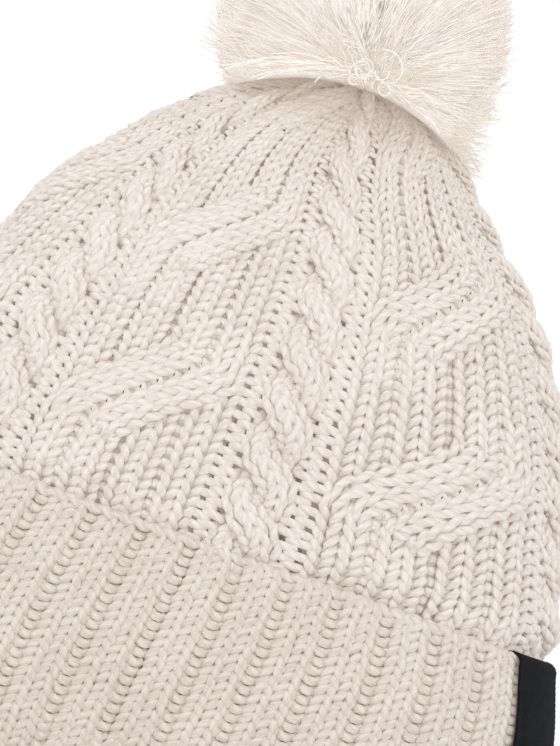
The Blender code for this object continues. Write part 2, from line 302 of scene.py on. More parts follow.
def ladder_course():
    """One row of a ladder: two bars of yarn, one a little left of and above the other, that come
    from behind and go back there."""
    t = np.linspace(0, 1, 8)
    front = 1.0 - 3.0 * np.abs(2 * t - 1) ** 6
    across = np.concatenate([BAR_LENGTH * (t - 0.5) - BAR_SHIFT, [0.1, -0.1],
                             BAR_LENGTH * (t - 0.5) + BAR_SHIFT])
    along = np.concatenate([0.25 - 0.16 * (t - 0.5), [0.1, -0.1], -0.25 - 0.16 * (t - 0.5)])
    out = np.concatenate([front, [-2.2, -2.2], front])
    return np.zeros(len(t) * 2 + 2, int), across, along, out, np.full(len(out), 1.08)


def smoothstep(x):
    x = np.clip(x, 0, 1)
    return x * x * (3 - 2 * x)


def ramp(x):
    """From 0 to 1, nearly straight, with soft ends."""
    return 0.6 * np.clip(x, 0, 1) + 0.4 * smoothstep(x)


class Noise:
    """Smooth random waviness over (turn, along)."""

    def __init__(self, seed, count=14, turn_waves=9, along_size=60.0):
        rng = np.random.default_rng(seed)
        self.k = rng.integers(-turn_waves, turn_waves + 1, count)
        self.m = rng.normal(0, 1, count) / along_size * 4
        self.phase = rng.uniform(0, math.tau, count)
        self.scale = 1 / math.sqrt(count / 2)

    def __call__(self, turn, along):
        total = 0
        for k, m, p in zip(self.k, self.m, self.phase):
            total = total + np.sin(np.radians(turn) * k + along * m + p)
        return total * self.scale


WAVE_OUT, WAVE_SIDE, WAVE_UP = Noise(1), Noise(2), Noise(3)

# ---------------------------------------------------------------- crown
REPEATS = 6
ROPE_WALE, LADDER_WALE, KNIT_WALE, PURL_WALE = 0.59, 0.60, 1.0, 0.38
PANEL = [(1, KNIT_WALE), (1, KNIT_WALE), (-1, PURL_WALE)] * 3 + [(1, KNIT_WALE)] * 2
PANEL_WIDTH = sum(w for _, w in PANEL)
ROPE_WIDTH = 4 * ROPE_WALE
REPEAT_WIDTH = ROPE_WIDTH + 4 * LADDER_WALE + PANEL_WIDTH
UNIT_TURN = 360.0 / REPEATS / REPEAT_WIDTH  # degrees a unit
ROW = 3.30
RIM_ALONG = CROWN.along_at(CUFF_TOP)
LOW_ROW = -4
TOP_ROW = int((CROWN.length - RIM_ALONG) / ROW) - 1
KNIT_DEPTH = 2.4  # the middle of the knit lies this far inside the hat's outer face
# how far in the yarn's middle may reach, so that none comes through the lining; the rows behind
# the cuff have less room than those above it
DEEP_ALONG, DEEPEST = (RIM_ALONG - 14.0, RIM_ALONG - 8.0, RIM_ALONG - 2.0), (-1.2, -3.2, -5.4)
ROPE_PERIOD = 9.3
ROPE_START = 0.78
BAND_PERIOD = 16
BAND_CENTRES = [-5.3, 10.7, 26.7, 42.7]
BAND_RAMP = 4.0


def leaned(point):
    point[..., 0] += LEAN * np.exp(-(((point[..., 2] - LEAN_HEIGHT) / LEAN_SPAN) ** 2))
    return point


def crown_turn(nominal):
    """Where a wale stands round the hat: the fabric is wider at one side of the front."""
    x = np.radians(nominal)
    return 7.2 + nominal + 5.6 * (1 - np.cos(2 * x)) - 0.6 * np.sin(x)


def crown_place(x, row, out):
    """x in units from the front rope's centre, row from the cuff's edge, out in mm."""
    along = RIM_ALONG + row * ROW
    turn = crown_turn(x * UNIT_TURN)
    unit = CROWN.round_at(along) / 360.0 * UNIT_TURN
    crowd = np.clip(unit / 5.2, 0.70, 1.0)
    turn = turn + 0.35 * WAVE_SIDE(turn, along)
    out = out * (0.4 + 0.6 * crowd) - KNIT_DEPTH + 0.5 * WAVE_OUT(turn, along)
    out = np.maximum(out, np.interp(along, DEEP_ALONG, DEEPEST))
    point, normal = CROWN.place(turn, along + 0.5 * WAVE_UP(turn, along), out)
    return leaned(point), normal, crowd


UNIT_LENGTH = 6.4  # about what one unit measures at the foot of the crown
TILT = 0.62  # how far a row turns to stay square to a strip that leans


def crown_strip(centre, signs, widths, rows, shift=None, lift=None, keep=None, squeeze=None,
                tilt=TILT, samples=None):
    """Rows of one strip of columns. centre, shift(v) and the columns are in units; lift(v, x)
    gives millimetres; keep(row) says which rows are drawn; squeeze(v) narrows the strip; samples
    is one row's shape where it isn't course's."""
    col, across, along, out, thick = samples or course(signs, widths)
    edges = np.cumsum([0, *widths])
    middle = (edges[:-1] + edges[1:]) / 2 - edges[-1] / 2
    rows = np.array([r for r in rows if keep is None or keep(r)], float)
    if not len(rows):
        return None
    v = rows[:, None] + along[None]
    jitter = RNG.normal(0, 1, (len(rows), len(signs), 3))
    inner = middle[col] + across
    raised = (lift(v, inner[None]) if lift else 0) + np.zeros_like(v)
    depth = LOOP_DEPTH * out[None] + raised + 0.12 * jitter[:, col, 1]
    inside = inner[None] * (squeeze(v) if squeeze else 1.0)
    x = centre + 0.02 * jitter[:, col, 0]
    if shift:
        lean = np.arctan((shift(v + 0.2) - shift(v - 0.2)) / 0.4 * UNIT_LENGTH / ROW)
        x = x + shift(v) + inside * np.cos(tilt * lean)
        v = v - inside * np.sin(tilt * lean) * UNIT_LENGTH / ROW
    else:
        x = x + inside
    v = v + 0.04 * jitter[:, col, 2]
    point, normal, crowd = crown_place(x, v, depth)
    radius = YARN * thick[None] * crowd
    return point, normal, radius


ROPE_SWING, ROPE_RISE, STRAND_WALE, ROPE_TILT = 0.74, 1.9, 0.74, 0.92


def rope_swing(v, phase=0.0):
    swing = np.cos(math.tau * (v - ROPE_START) / ROPE_PERIOD + phase)
    return ROPE_SWING * np.tanh(1.15 * swing) / math.tanh(1.15)


def rope_parts(centre, rows):
    strands = []
    for phase in (0.0, math.pi):
        def shift(v, phase=phase):
            return rope_swing(v, phase)

        def lift(v, x, phase=phase):
            turned = np.sin(math.tau * (v - ROPE_START) / ROPE_PERIOD + phase)
            return ROPE_RISE * turned + 0.7 - 1.3 * np.abs(x / STRAND_WALE) ** 2.2

        strands.append(crown_strip(centre, [1, 1], [STRAND_WALE] * 2, rows, shift, lift,
                                   tilt=ROPE_TILT))
    return strands


GROUP = [(1, KNIT_WALE), (1, KNIT_WALE), (-1, PURL_WALE), (1, KNIT_WALE), (1, KNIT_WALE)]
GROUP_WIDTH = sum(w for _, w in GROUP)
SLOT = (GROUP_WIDTH + PURL_WALE) / 2  # from the panel's middle to either group's middle


def column_lift(signs_widths):
    signs, widths = zip(*signs_widths)
    edges = np.cumsum([0, *widths]) - sum(widths) / 2

    def lift(v, x):
        total = np.zeros(np.broadcast(v, x).shape)
        for s, a, b in zip(signs, edges[:-1], edges[1:]):
            if s < 0:
                mid, half = (a + b) / 2, (b - a) / 2 + 0.16
                total = total - 1.1 * np.clip(1 - np.abs(x - mid) / half, 0, 1)
        return total

    return lift


def panel_parts(centre, rows):
    signs, widths = zip(*GROUP)
    valleys = column_lift(GROUP)
    parts = []
    for c in BAND_CENTRES:
        own = [r for r in rows if c - BAND_PERIOD / 2 <= r < c + BAND_PERIOD / 2]

        def shift(v, c=c):
            return -SLOT + 2 * SLOT * ramp((v - c) / (2 * BAND_RAMP) + 0.5)

        def lift(v, x, c=c):
            near = np.clip(1 - ((v - c) / (BAND_RAMP + 1.0)) ** 2, 0, 1)
            return valleys(v, x) * (1 - 0.6 * near) + 1.7 * near - 0.6 * near * (x / 2.19) ** 4

        def squeeze(v, c=c):
            near = np.clip(1 - ((v - c) / BAND_RAMP) ** 2, 0, 1)
            return 1 - 0.22 * near

        parts.append(crown_strip(centre, signs, widths, own, shift, lift, None, squeeze))
        # the group that passes behind: right of the band below it, left of it above
        for side, sign in ((1, -1), (-1, 1)):
            for k in range(len(GROUP)):
                edges = np.cumsum([0, *widths]) - GROUP_WIDTH / 2
                mid = side * SLOT + (edges[k] + edges[k + 1]) / 2

                def hidden(r, mid=mid, sign=sign, c=c):
                    over = shift(np.array(float(r)), c)
                    if sign < 0:
                        return r > c + 3 or over + GROUP_WIDTH / 2 - 1.0 > mid
                    return r < c - 3 or over - GROUP_WIDTH / 2 + 1.0 < mid

                def keep(r, hidden=hidden):
                    return not hidden(r)

                def sink(v, x, mid=mid, sign=sign, c=c):
                    over = shift(v, c)
                    gap = mid - over if sign < 0 else over - mid
                    covered = 1 - np.clip((gap - GROUP_WIDTH / 2 + 0.9) / 1.2, 0, 1)
                    return valleys(v, x + mid - side * SLOT) - 1.6 * smoothstep(covered)

                parts.append(crown_strip(centre + mid, [GROUP[k][0]], [GROUP[k][1]], own, None, sink,
                                         keep))

    def purl_lift(v, x):
        return -1.6 + 0 * v

    # the purl between the two groups
    parts.append(crown_strip(centre, [-1], [PURL_WALE], rows, None, purl_lift))
    return parts


def ladder_parts(centre, side, rows):
    """The purl beside a rope, which spreads towards it where it is narrow."""

    def waist(v):
        return ROPE_SWING - np.abs(rope_swing(v))

    def shift(v):
        return -side * 0.12 * waist(v)

    def lift(v, x):
        return -0.35 + 0 * v

    def squeeze(v):
        return 1 + 0.45 * waist(v)

    x = centre + side * (ROPE_WIDTH / 2 + LADDER_WALE + 0.06)
    return [crown_strip(x, [-1], [2 * LADDER_WALE], rows, shift, lift, None, squeeze,
                        samples=ladder_course())]


def crown_inner_face(finish):
    """The knit's inner side, which closes the gaps between its stitches: rows of purl bumps."""
    along = np.linspace(RIM_ALONG - 9, CROWN.length, 190)
    turn = np.linspace(0, 360, 481)[:-1]
    A, T = np.meshgrid(along, turn, indexing="ij")
    phase = (A - RIM_ALONG) / ROW * math.tau
    bumps = 0.35 * np.cos(phase + math.pi * np.sin(np.radians(T) * 90))
    point, _ = CROWN.place(T, A, -KNIT_DEPTH - 1.5 + bumps)
    return mesh_object("crown_inner_face", leaned(point).reshape(-1, 3), grid_quads(190, 480, True), finish)


def crown_panels(finish):
    rows = range(LOW_ROW, TOP_ROW + 1)
    made = []
    for repeat in range(REPEATS):
        x = repeat * REPEAT_WIDTH
        made.append(yarn_object(f"crown_rope_{repeat + 1}", rope_parts(x, rows), finish))
        parts = ladder_parts(x, -1, rows) + ladder_parts(x, 1, rows)
        parts += panel_parts(x + REPEAT_WIDTH / 2, rows)
        parts = [p for p in parts if p is not None]
        made.append(yarn_object(f"crown_panel_{repeat + 1}", parts, finish))
    return made


# ---------------------------------------------------------------- cuff
RIBS = 38
RIB_WIDTHS = [0.92, 0.92, 0.78]
RIB_WIDTH = sum(RIB_WIDTHS)
RIB_ROW = 2.82
RIB_LEAN = 4.6
RIB_TURN = 360.0 / RIBS / RIB_WIDTH  # degrees a unit
CUFF_RIM_ALONG = CUFF.length - 1.6
INSIDE_ROWS = 7  # of the layer behind the fold are seen from below


def cuff_turn(nominal, along):
    x = np.radians(nominal)
    return nominal - 2.9 * np.sin(2 * x) - RIB_LEAN * (1 - along / CUFF.length)


def cuff_columns(first, count):
    """One course of count ribs: its samples, how far round each is, and which are purl."""
    widths = np.array(RIB_WIDTHS * count)
    col, across, along, out, thick = course([1, 1, -1] * count, widths, end_dip=False)
    edges = np.concatenate([[0], np.cumsum(widths)])
    middle = (edges[:-1] + edges[1:]) / 2
    nominal = (first * RIB_WIDTH + middle[col] + across)[None] * RIB_TURN
    return col, nominal, along, out, thick, np.array([0, 0, 1] * count)[col] > 0


def cuff_parts(first, count):
    """Outer layer of the cuff, from the fold to its edge, with its stitches upside down."""
    col, nominal, along, out, thick, purl = cuff_columns(first, count)
    rows = np.arange(0, int(CUFF_RIM_ALONG / RIB_ROW)) * RIB_ROW
    rows = CUFF_RIM_ALONG - rows
    jitter = RNG.normal(0, 1, (len(rows), count * len(RIB_WIDTHS), 3))
    place = rows[:, None] - along[None] * RIB_ROW + 0.1 * jitter[:, col, 2]
    nominal = nominal + 0.1 * jitter[:, col, 0]
    turn = cuff_turn(nominal + 0 * place, place)
    level = np.where(purl, -0.3, 0.0)
    wave = 0.6 * WAVE_OUT(turn, place + 300)
    depth = -KNIT_DEPTH + level[None] + LOOP_DEPTH * out[None] + wave + 0.12 * jitter[:, col, 1]
    point, normal = CUFF.place(turn, place, depth)
    return [(point, normal, YARN * thick[None] * np.ones_like(depth))]


def cuff_edge(first, count):
    """The cast-on edge: a bumpy cord of small loops over the cuff's rim."""
    steps = 10
    loops = count * 3
    t = np.arange(loops * steps + 1) / steps
    unit = 360.0 / (RIBS * 3)
    groups = []
    for phase, high, deep in ((0.0, 0.0, 0.6), (0.5, 0.5, -1.4)):
        turn = (first * 3 + t + phase) * unit
        swing = np.sin(math.tau * t)
        place = CUFF_RIM_ALONG + 1.2 + high + 0.45 * np.cos(math.tau * t)
        depth = -KNIT_DEPTH + deep + 0.45 * swing
        turn = cuff_turn(turn, place)
        point, normal = CUFF.place(turn[None], place[None], depth[None])
        groups.append((point, normal, np.full((1, len(t)), YARN * 1.05)))
    return groups


def cuff_inside(first, count):
    """The first rows behind the fold, which carry on from the outer layer."""
    _, nominal, along, out, thick, purl = cuff_columns(first, count)
    rows = (np.arange(INSIDE_ROWS) + 0.5) * RIB_ROW
    place = rows[:, None] + along[None] * RIB_ROW
    turn = cuff_turn(nominal + 0 * place, 0 * place)
    depth = KNIT_DEPTH + np.where(purl, 1.2, 0.0)[None] - LOOP_DEPTH * out[None] + 0 * place
    point, normal = HEM.place(turn, place, depth)
    return [(point, normal, YARN * thick[None] * np.ones_like(depth))]


def cuff_pieces(finish):
    made = []
    names = ("front_right", "front_left", "back_left", "back_right")
    starts = [0, 10, 19, 29, 38]
    for k, name in enumerate(names):
        first, count = starts[k], starts[k + 1] - starts[k]
        parts = cuff_parts(first, count) + cuff_edge(first, count) + cuff_inside(first, count)
        made.append(yarn_object("rib_cuff_" + name, parts, finish))
    return made


# ---------------------------------------------------------------- pompom
BALL_CENTRE = np.array([-5.2, 0.0, 226.0])
BALL_RADIUS = 41.2
TIE_POINT = np.array([0.0, 0.0, 211.5])
CLUMPS = 950
CLUMP_STRANDS = 13
STRAND_RADIUS = 0.24
STRAND_POINTS = 12
SHOWN_LENGTH = 24.0  # the rest of a strand lies under others
FAN_SHARE = 0.6  # of the locks lie along the ball's face, the rest stand out from its middle
FAN_LENGTH = 42.0
POMPOM_PARTS = 4
CURLS, CURL_OUT = 12, 39.0  # loose curled ends, and how far in front of the tie they lie
STRAYS, STRAY_OUT = 26, 26.0
LOOSE_RADIUS = 0.21
CORE_INSET = 6.5


def underside(x):
    """How low the strands reach: down over the crown's shoulders at the sides."""
    return 209.4 - 0.0093 * x**2


def unit_rows(vectors):
    return vectors / (np.linalg.norm(vectors, axis=-1, keepdims=True) + 1e-12)


def wiggle(points, amount, waves, rng, share=1):
    """Bend each strand with its own slow waves, more towards its end."""
    n, m = points.shape[:2]
    s = np.linspace(0, 1, m)[None, :, None]

    def draw(*size):
        return np.repeat(rng.normal(0, 1, (n // share, *size)), share, 0)

    for _ in range(2):
        side = unit_rows(draw(1, 3))
        phase = 3 * draw(1, 1)
        rate = np.exp(0.3 * draw(1, 1)) * waves
        points = points + side * amount * (0.3 + s) * (np.sin(rate * math.tau * s + phase) - np.sin(phase))
    return points


def pompom_strands(rng):
    """Strands that fan out from the tie to cut ends spread over the ball, in loose locks."""
    k = np.arange(CLUMPS) + 0.5
    polar = np.arccos(1 - 2 * k / CLUMPS)
    bearing = math.pi * (1 + math.sqrt(5)) * k
    way = np.stack([np.sin(polar) * np.cos(bearing), np.sin(polar) * np.sin(bearing), np.cos(polar)], -1)
    way = unit_rows(way + rng.normal(0, 0.03, way.shape))
    n = CLUMPS * CLUMP_STRANDS

    def each(values):
        return np.repeat(values, CLUMP_STRANDS, 0)

    reach = BALL_RADIUS + each(rng.normal(0, 0.8, (CLUMPS, 1))) + rng.normal(-0.6, 1.0, (n, 1))
    ends = BALL_CENTRE + unit_rows(each(way) + rng.normal(0, 0.042, (n, 3))) * np.minimum(
        reach, BALL_RADIUS + 1.8)
    droop = np.clip((230.0 - ends[:, 2]) / 28.0, 0, 1) * np.clip(ends[:, 0] / 20.0, 0, 1)
    ends += droop[:, None] * np.array([8.0, 0.0, -5.5])
    droop = np.clip((226.0 - ends[:, 2]) / 10.0, 0, 1) * np.clip(-(ends[:, 0] + 10.0) / 20.0, 0, 1)
    ends += droop[:, None] * np.array([-2.0, 0.0, -2.0])
    low = underside(ends[:, 0]) + rng.uniform(0, 1, n) ** 2 * (5.0 + 6.0 * (ends[:, 1] / 40.0) ** 2)
    ends[:, 2] = np.maximum(ends[:, 2], low)
    away = ends - TIE_POINT
    length = np.linalg.norm(away, axis=-1, keepdims=True)
    starts = TIE_POINT + 2.0 * unit_rows(away) + rng.normal(0, 0.5, (n, 3))
    middle = (starts + ends) / 2
    bulge = (0.16 + 0.12 * each(rng.uniform(0, 1, (CLUMPS, 1))) + 0.04 * rng.normal(0, 1, (n, 1)))
    away = middle - BALL_CENTRE
    face = np.sqrt(np.maximum(BALL_RADIUS**2 - away[:, 0]**2 - away[:, 2]**2, 25.0))[:, None]
    side = np.where(ends[:, 1:2] + each(rng.normal(0, 5, (CLUMPS, 1))) < 0, -1.0, 1.0)
    shallow = 0.60 - 0.60 * np.clip((ends[:, 2:] - 214.0) / 20.0, 0, 1)
    depth = 1.02 - each(rng.uniform(0, 1, (CLUMPS, 1))) * (0.18 + shallow) + rng.normal(0, 0.02, (n, 1))
    fanned = middle.copy()
    fanned[:, 1:2] = 2 * (side * depth * face - 0.25 * ends[:, 1:2])
    fan = each(rng.uniform(0, 1, (CLUMPS, 1)) < FAN_SHARE)
    middle = np.where(fan, fanned, middle + unit_rows(away) * bulge * length)
    first = np.clip(1 - np.where(fan, FAN_LENGTH, SHOWN_LENGTH) / length, 0, 1)
    t = (first + (1 - first) * np.linspace(0, 1, STRAND_POINTS)[None])[:, :, None]
    points = (1 - t) ** 2 * starts[:, None] + 2 * t * (1 - t) * middle[:, None] + t**2 * ends[:, None]
    points = wiggle(points, 0.85, 0.9, rng, CLUMP_STRANDS)
    points = wiggle(points, 0.36, 1.7, rng)
    from_centre = points - BALL_CENTRE
    reach = np.linalg.norm(from_centre, axis=-1, keepdims=True)
    limit = BALL_RADIUS + 0.6 + rng.normal(0, 0.6, (n, 1, 1))
    points = np.where((reach > limit) & fan[:, None], BALL_CENTRE + from_centre * limit / reach, points)
    low = underside(points[..., 0])
    below = np.maximum(low + rng.uniform(0, 1, (n, 1)) ** 2 * 4.0 - points[..., 2], 0)
    points[..., 2] += below + np.minimum(0.3 * below, 3.0)
    radii = STRAND_RADIUS * (1.2 - 0.45 * np.linspace(0, 1, STRAND_POINTS)[None])
    return points, radii * rng.uniform(0.7, 1.35, (n, 1))


def loose_ends(rng):
    """Fine ends that hang from the tie over the crown's top, some of them curled."""
    samples = 44
    s = np.linspace(0, 1, samples)[None, :]

    def lay(x, out, drop):
        y = -4.0 - out
        return y, underside(x) + 3.0 - drop

    groups = []
    # curls in front of the tie
    count = CURLS
    middle = rng.uniform(-5.5, 7.0, (count, 1))
    size = rng.uniform(1.2, 3.6, (count, 1)) * (0.75 + 0.5 * s * rng.normal(0, 1, (count, 1)))
    angle = rng.uniform(0, math.tau, (count, 1)) + rng.uniform(0.5, 1.3, (count, 1)) * math.tau * s
    grow = np.clip(3 * s, 0, 1)
    x = 1.0 + (middle - 1.0) * grow + size * grow * np.cos(angle)
    drop = rng.uniform(-3.5, 3.5, (count, 1)) * grow - size * grow * np.sin(angle)
    y, z = lay(x, (CURL_OUT + rng.normal(0, 1.2, (count, 1))) * grow + 0.7 * np.sin(angle + 1), drop)
    groups.append(np.stack([x, y, z], -1))
    # long stray ends that lie along the crown's shoulders
    count = STRAYS
    side = np.where(rng.uniform(0, 1, (count, 1)) < 0.7, -1.0, 1.0)
    length = rng.uniform(8, 38, (count, 1)) * np.where(side < 0, 1.0, 0.6)
    x = side * (1.5 + length * s)
    wave = rng.uniform(0.3, 1.3, (count, 1)) * np.sin(rng.uniform(1, 3, (count, 1)) * math.tau * s
                                                       + rng.uniform(0, 6, (count, 1)))
    hang = rng.uniform(-4.0, 5.0, (count, 1)) * s**1.4
    y, z = lay(x, (STRAY_OUT + rng.uniform(0, 13, (count, 1))) * np.clip(2.5 * s, 0, 1), wave * s + hang)
    groups.append(np.stack([x, y, z], -1))
    points = np.concatenate(groups)
    return points, np.full(points.shape[:2], LOOSE_RADIUS)


def pompom_core(finish):
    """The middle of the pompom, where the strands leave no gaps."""
    rings, around = 60, 120
    i, j = np.meshgrid(np.arange(rings + 1), np.arange(around), indexing="ij")
    polar, turn = math.pi * i / rings, math.tau * j / around
    bumps = (0.9 * np.sin(9 * turn + 3 * polar) * np.sin(11 * polar)
             + 0.6 * np.sin(23 * turn - 7 * polar) + 0.4 * np.sin(41 * turn + 13 * polar))
    reach = BALL_RADIUS - CORE_INSET + bumps * np.sin(polar)
    point = BALL_CENTRE + np.stack([reach * np.sin(polar) * np.cos(turn),
                                    reach * np.sin(polar) * np.sin(turn), reach * np.cos(polar)], -1)
    point[..., 2] = np.maximum(point[..., 2], underside(point[..., 0]) + 3.0)
    i, j = np.meshgrid(np.arange(rings), np.arange(around), indexing="ij")
    a, b = i * around + j, i * around + (j + 1) % around
    quads = np.stack([a, a + around, b + around, b], -1).reshape(-1, 4)
    return mesh_object("pompom_core", point.reshape(-1, 3), quads, finish)


def pompom_pieces(finish):
    rng = np.random.default_rng(5)
    points, radii = pompom_strands(rng)
    curls, curl_radii = loose_ends(rng)
    bearing = np.arctan2(points[:, -1, 1], points[:, -1, 0])
    part = np.floor((bearing + math.pi) / math.tau * POMPOM_PARTS).astype(int) % POMPOM_PARTS
    made = [pompom_core(finish)]
    for k in range(POMPOM_PARTS):
        own = part == k
        made.append(yarn_object(f"pompom_strands_{k + 1}", [strand_group(points[own], radii[own])],
                                finish, sides=3))
    made.append(yarn_object("pompom_loose_ends", [strand_group(curls, curl_radii)], finish, sides=5))
    return made


# ---------------------------------------------------------------- seams, ties and labels
THREAD = 0.5
LINING_FACE = [(101.2, 14.0), (102.3, 32.0), (98.0, 50.0), (91.4, 66.0), (90.2, 81.0), (88.0, 101.0),
               (80.8, 123.0), (69.6, 143.0), (55.0, 162.5), (38.0, 178.5), (19.0, 190.0), (4.0, 193.4)]
LINING_THICKNESS = 1.8
LINING = Surface(LINING_FACE)
GORES = {"front_right": 0, "back_right": 90, "back_left": 180, "front_left": 270}


def stand_in(piece, node):
    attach(piece, frame["nodes"][node]["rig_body"])
    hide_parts(node)
    return piece


def yarn_piece(name, groups, finish, sides, node):
    return stand_in(yarn_object(name, groups, finish, sides), node)


def mid_height(node):
    low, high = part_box(node)
    return (low.z + high.z) / 2 / MM


def path_group(points, radius):
    points = np.array(points, float)[None]
    return strand_group(points, np.full(points.shape[:2], radius))


def shell(name, outer, inner, finish):
    """A closed sheet from two grids of points that face each other."""
    rows, columns = outer.shape[:2]
    n = rows * columns
    front = grid_quads(rows, columns)
    quads = [front, front[:, ::-1] + n]
    index = np.arange(n).reshape(rows, columns)
    rim = np.concatenate([index[0], index[1:, -1], index[-1, -2::-1], index[-2:0:-1, 0]])
    after = np.roll(rim, -1)
    quads.append(np.stack([after, rim, rim + n, after + n], -1))
    return mesh_object(name, np.concatenate([outer.reshape(-1, 3), inner.reshape(-1, 3)]),
                       np.concatenate(quads), finish)


def lining_gore(name, first, finish):
    """One gore of fleece, rounded down into its seams, with the nap's soft unevenness."""
    turn = first + 0.25 + np.linspace(0, 1, 61) * 89.5
    along = np.linspace(0, LINING.length, 150)
    A, T = np.meshgrid(along, turn, indexing="ij")
    across = np.minimum(T - first, first + 90 - T) / 360 * LINING.round_at(A)
    pinch = 0.75 * np.exp(-across / 1.6)
    hem = 0.7 * np.exp(-A / 2.0)
    nap = 0.22 * WAVE_OUT(T * 7, A * 6) * np.clip(across / 3, 0, 1)
    outer, _ = LINING.place(T, A, -pinch - hem)
    inner, _ = LINING.place(T, A, -LINING_THICKNESS + 0.2 * pinch + hem * 0.4 + nap)
    return shell("lining_gore_" + name, outer, inner, finish)


def stitch_row(points, outward, length, gap, radius, height):
    """Short stitches laid along a path, each dipping into the cloth at its ends."""
    points = np.array(points, float)
    run = np.concatenate([[0], np.cumsum(np.linalg.norm(np.diff(points, axis=0), axis=1))])
    count = max(1, int(run[-1] / (length + gap)))
    pitch = run[-1] / count
    s = np.linspace(0, 1, 9)
    where = (np.arange(count)[:, None] + 0.5) * pitch + (s[None] - 0.5) * (pitch - gap)
    made = np.stack([np.interp(where, run, points[:, k]) for k in range(3)], -1)
    ways = np.stack([np.interp(where, run, outward[:, k]) for k in range(3)], -1)
    dip = (1 - (2 * s - 1) ** 4)[None, :, None] * height - 0.6 * height
    return strand_group(made + ways * dip, np.full(where.shape, radius))


def lining_seam(turn, drop):
    """The path of a seam up one side of the lining, over its top and down the other side."""
    along = np.linspace(2.0, LINING.length, 160)
    out = np.full_like(along, -LINING_THICKNESS - 1.1)
    up, up_normal = LINING.place(np.full_like(along, turn), along, out)
    down, down_normal = LINING.place(np.full_like(along, turn + 180.0), along, out)
    points = np.concatenate([up, down[::-1]])
    reach = np.hypot(points[:, 0], points[:, 1])
    points[:, 2] -= drop * np.maximum(0, 1 - (reach / 16.0) ** 2)
    return points, np.concatenate([up_normal, down_normal[::-1]])


def overlock(points, normals, radius, pitch, swing):
    """A seam's covering thread, which zigzags across it."""
    run = np.concatenate([[0], np.cumsum(np.linalg.norm(np.diff(points, axis=0), axis=1))])
    steps = int(run[-1] / pitch) * 8
    where = np.linspace(0, run[-1], steps)
    path = np.stack([np.interp(where, run, points[:, k]) for k in range(3)], -1)
    normal = np.stack([np.interp(where, run, normals[:, k]) for k in range(3)], -1)
    ahead = np.gradient(path, axis=0)
    side = unit_rows(np.cross(unit_rows(ahead), normal))
    phase = where / pitch * math.tau
    zig = path + side * (swing * np.sin(phase))[:, None] - normal * (0.25 * np.cos(2 * phase))[:, None]
    return [path_group(zig, radius), path_group(path + normal * 0.35, radius * 1.2)]


def plan_point(radius, angle):
    across, back = np.cos(angle), np.sin(angle)
    power = 2 / PLAN_POWER
    return (radius * np.sign(across) * np.abs(across) ** power,
            plan_depth(radius) * np.sign(back) * np.abs(back) ** power)


LABEL_ANGLES = (-32.0, -11.7)
LABEL_LOW = 29.0
LABEL_STANDING = 0.6
RIM_MIDDLE = (103.7, 72.7)
RIM_HALF = 2.3
LABEL_TUCK = 9.0
LABEL_COLUMNS = 73
SELVEDGE_SPAN = 41.0  # sets how wide the thick edges are; it is more than the label's own width


def label_path():
    """The woven label's middle line: up the cuff's face, over its rim and down behind it."""
    z = np.linspace(LABEL_LOW, RIM_MIDDLE[1], 60)
    r = np.interp(z, CUFF.height, CUFF.radius) + LABEL_STANDING
    r = np.where(z > 66, r + (RIM_MIDDLE[0] + RIM_HALF + LABEL_STANDING - r[-1]) * (z - 66) / 6.7, r)
    turn = np.linspace(0, math.pi, 16)[1:]
    reach = RIM_HALF + LABEL_STANDING
    over = np.stack([RIM_MIDDLE[0] + reach * np.cos(turn), RIM_MIDDLE[1] + reach * np.sin(turn)], -1)
    down = over[-1] + np.array([0.03, -1.0]) * np.linspace(0, LABEL_TUCK, 12)[1:, None]
    return np.concatenate([np.stack([r, z], -1), over, down])


def label_grid(path, angles, lift):
    """Points of the label at these plan angles; lift is how far out, by row and column."""
    ahead = unit_rows(np.gradient(path, axis=0))
    normal = np.stack([ahead[:, 1], -ahead[:, 0]], -1)
    r = path[:, None, 0] + normal[:, None, 0] * lift
    z = path[:, None, 1] + normal[:, None, 1] * lift + 0 * r
    x, y = plan_point(r, np.radians(angles)[None])
    return np.stack([x, y, z], -1)


def woven_label(finish):
    path = label_path()
    angles = np.linspace(*LABEL_ANGLES, LABEL_COLUMNS)
    column = np.arange(LABEL_COLUMNS)
    edge = np.minimum(column, column[::-1]) / (LABEL_COLUMNS - 1) * SELVEDGE_SPAN
    rows = np.arange(len(path))[:, None]
    selvedge = 0.14 * np.exp(-(edge / 0.9) ** 2)[None]
    ribs = 0.05 * np.where((rows + column[None]) % 2, 1, -1)
    half = 0.27 + selvedge + 0 * rows
    return shell("woven_label_cloth", label_grid(path, angles, half + ribs),
                 label_grid(path, angles, -half), finish)


def label_stitch(finish):
    angles = np.linspace(LABEL_ANGLES[0] + 1.2, LABEL_ANGLES[1] - 1.2, 60)
    path = label_path()
    at = np.interp(LABEL_LOW + 4.0, path[:60, 1], path[:60, 0])
    x, y = plan_point(np.full(60, at + 0.55), np.radians(angles))
    points = np.stack([x, y, np.full(60, LABEL_LOW + 4.0)], -1)
    outward = unit_rows(points * np.array([1, 1, 0]))
    return yarn_object("woven_label_thread", [stitch_row(points, outward, 2.3, 0.7, 0.26, 0.35)], finish,
                       sides=8)


CARE_WIDTH, CARE_TOP, CARE_LOW, CARE_Y = 22.0, 70.0, 32.0, 58.9


